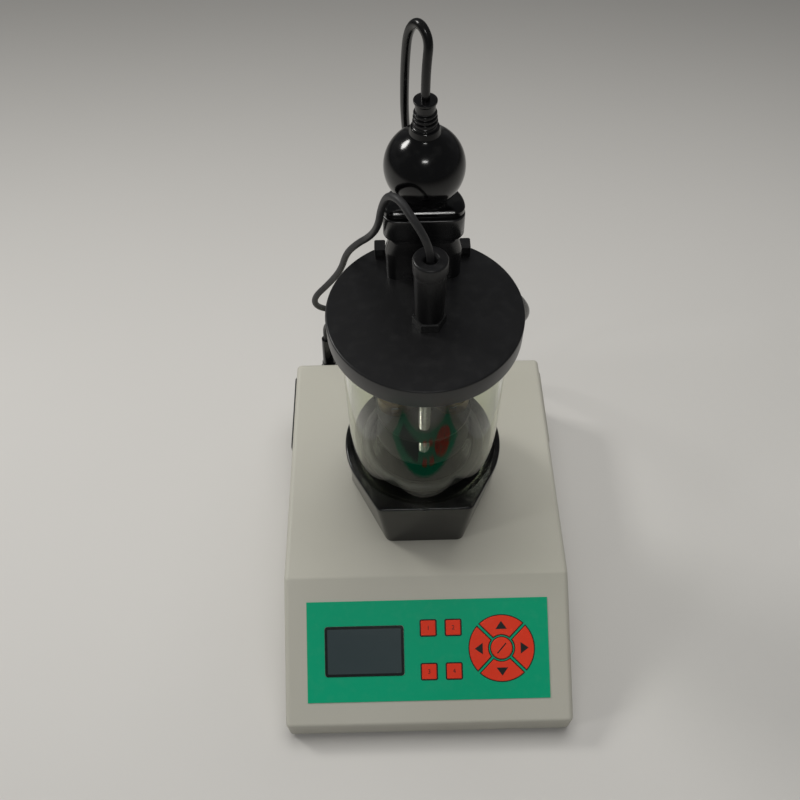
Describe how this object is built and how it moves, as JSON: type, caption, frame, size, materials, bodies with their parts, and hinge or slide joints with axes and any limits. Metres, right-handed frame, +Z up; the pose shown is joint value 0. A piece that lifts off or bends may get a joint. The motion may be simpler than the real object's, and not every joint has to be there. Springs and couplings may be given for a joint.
{
  "type": "ring-and-ball softening point tester",
  "caption": "Desk-top softening point tester: pale sheet case with sloping keypad, round stirrer seat, glass beaker, black lid with probe handle, heater plug and cables.",
  "frame": {"origin": "on the table under the middle of the outline, from the front lip to the cable gland behind the case", "axes": "+X to the right seen from the keypad, +Y to the back, +Z up"},
  "size_m": [0.2208, 0.3417, 0.4488],
  "materials": {
    "case_paint": "satin powder coat, warm pale grey",
    "panel_black": "matte black coat",
    "foot_rubber": "matte",
    "black_plastic": "fine grain",
    "gloss_black": "glossy moulding",
    "lid_black": "turned, satin",
    "seat_black": "semi-gloss",
    "nickel": "bright",
    "steel": "bright",
    "dark_steel": "black oxide, glossy",
    "aluminium": "machined",
    "brass": "machined",
    "glass": "clear",
    "white_plastic": "smooth",
    "green_film": "printed film",
    "window_black": "clear window with a black border",
    "display": "dark glass",
    "board": "circuit board",
    "key_orange": "printed film key",
    "cable_black": "smooth"
  },
  "bodies": {
    "case": {"case_cover": "case_paint", "base_plate": "case_paint", "rear_panel": "panel_black", "foot_front_left": "foot_rubber", "foot_front_right": "foot_rubber", "foot_rear_left": "foot_rubber", "foot_rear_right": "foot_rubber", "power_inlet": "black_plastic", "switch_housing": "black_plastic", "fuse_holder": "black_plastic", "heater_gland": "black_plastic", "sensor_socket": "nickel", "sensor_connector": "gloss_black", "side_vent_left": "black_plastic", "side_vent_right": "black_plastic", "overlay": "green_film", "display_window": "window_black", "display_module": "display", "key_board": "board", "stirrer_motor": "steel", "motor_bracket": "steel", "stirrer_seat": "seat_black", "beaker": "glass", "heater_cord": "cable_black", "sensor_cord": "cable_black", "transformer": "dark_steel", "power_board": "board"},
    "lid_assembly": {"lid": "lid_black", "heater_socket": "lid_black", "heater_element": "steel", "sensor_handle": "lid_black", "hex_nut": "dark_steel", "probe": "steel", "rod_front": "steel", "rod_rear": "steel", "cap_nut_front": "steel", "cap_nut_rear": "steel", "ring_plate": "brass", "lower_plate": "brass", "sample_ring_left": "brass", "sample_ring_right": "brass", "ball_guide_left": "brass", "ball_guide_right": "brass", "plug_body": "gloss_black", "plug_sleeve": "gloss_black"},
    "rocker": {"rocker": "black_plastic"},
    "drive_hub": {"drive_hub": "aluminium"},
    "stir_bar": {"stir_bar": "white_plastic"},
    "key_1": {"key_1": "key_orange"},
    "key_2": {"key_2": "key_orange"},
    "key_3": {"key_3": "key_orange"},
    "key_4": {"key_4": "key_orange"},
    "key_up": {"key_up": "key_orange"},
    "key_right": {"key_right": "key_orange"},
    "key_down": {"key_down": "key_orange"},
    "key_left": {"key_left": "key_orange"},
    "key_middle": {"key_middle": "key_orange"}
  },
  "joints": [
    {"name": "lid_lift", "type": "slide", "parent": "case", "child": "lid_assembly", "axis": [0, 0, 1], "range_m": [0, 0.145], "deforming": ["heater_cord", "sensor_cord"]},
    {"name": "stirrer_drive", "type": "hinge", "parent": "case", "child": "drive_hub", "pos_m": [0, 0.0252, 0.1], "axis": [0, 0, 1], "continuous": true},
    {"name": "stir_bar_spin", "type": "hinge", "parent": "case", "child": "stir_bar", "pos_m": [0, 0.0252, 0.133], "axis": [0, 0, 1], "continuous": true},
    {"name": "power_rocker", "type": "hinge", "parent": "case", "child": "rocker", "pos_m": [-0.014, 0.141, 0.043], "axis": [1, 0, 0], "range_deg": [-16, 0]},
    {"name": "key_1_press", "type": "slide", "parent": "case", "child": "key_1", "axis": [0, 0.4999, -0.8661], "range_m": [0, 0.0004], "stiffness_N_per_m": 300, "springref_m": -0.0005},
    {"name": "key_2_press", "type": "slide", "parent": "case", "child": "key_2", "axis": [0, 0.4999, -0.8661], "range_m": [0, 0.0004], "stiffness_N_per_m": 300, "springref_m": -0.0005},
    {"name": "key_3_press", "type": "slide", "parent": "case", "child": "key_3", "axis": [0, 0.4999, -0.8661], "range_m": [0, 0.0004], "stiffness_N_per_m": 300, "springref_m": -0.0005},
    {"name": "key_4_press", "type": "slide", "parent": "case", "child": "key_4", "axis": [0, 0.4999, -0.8661], "range_m": [0, 0.0004], "stiffness_N_per_m": 300, "springref_m": -0.0005},
    {"name": "key_up_press", "type": "slide", "parent": "case", "child": "key_up", "axis": [0, 0.4999, -0.8661], "range_m": [0, 0.0004], "stiffness_N_per_m": 300, "springref_m": -0.0005},
    {"name": "key_right_press", "type": "slide", "parent": "case", "child": "key_right", "axis": [0, 0.4999, -0.8661], "range_m": [0, 0.0004], "stiffness_N_per_m": 300, "springref_m": -0.0005},
    {"name": "key_down_press", "type": "slide", "parent": "case", "child": "key_down", "axis": [0, 0.4999, -0.8661], "range_m": [0, 0.0004], "stiffness_N_per_m": 300, "springref_m": -0.0005},
    {"name": "key_left_press", "type": "slide", "parent": "case", "child": "key_left", "axis": [0, 0.4999, -0.8661], "range_m": [0, 0.0004], "stiffness_N_per_m": 300, "springref_m": -0.0005},
    {"name": "key_middle_press", "type": "slide", "parent": "case", "child": "key_middle", "axis": [0, 0.4999, -0.8661], "range_m": [0, 0.0004], "stiffness_N_per_m": 300, "springref_m": -0.0005}
  ],
  "couplings": [
    {"joint": "stir_bar_spin", "follows": "stirrer_drive", "ratio": 1}
  ]
}
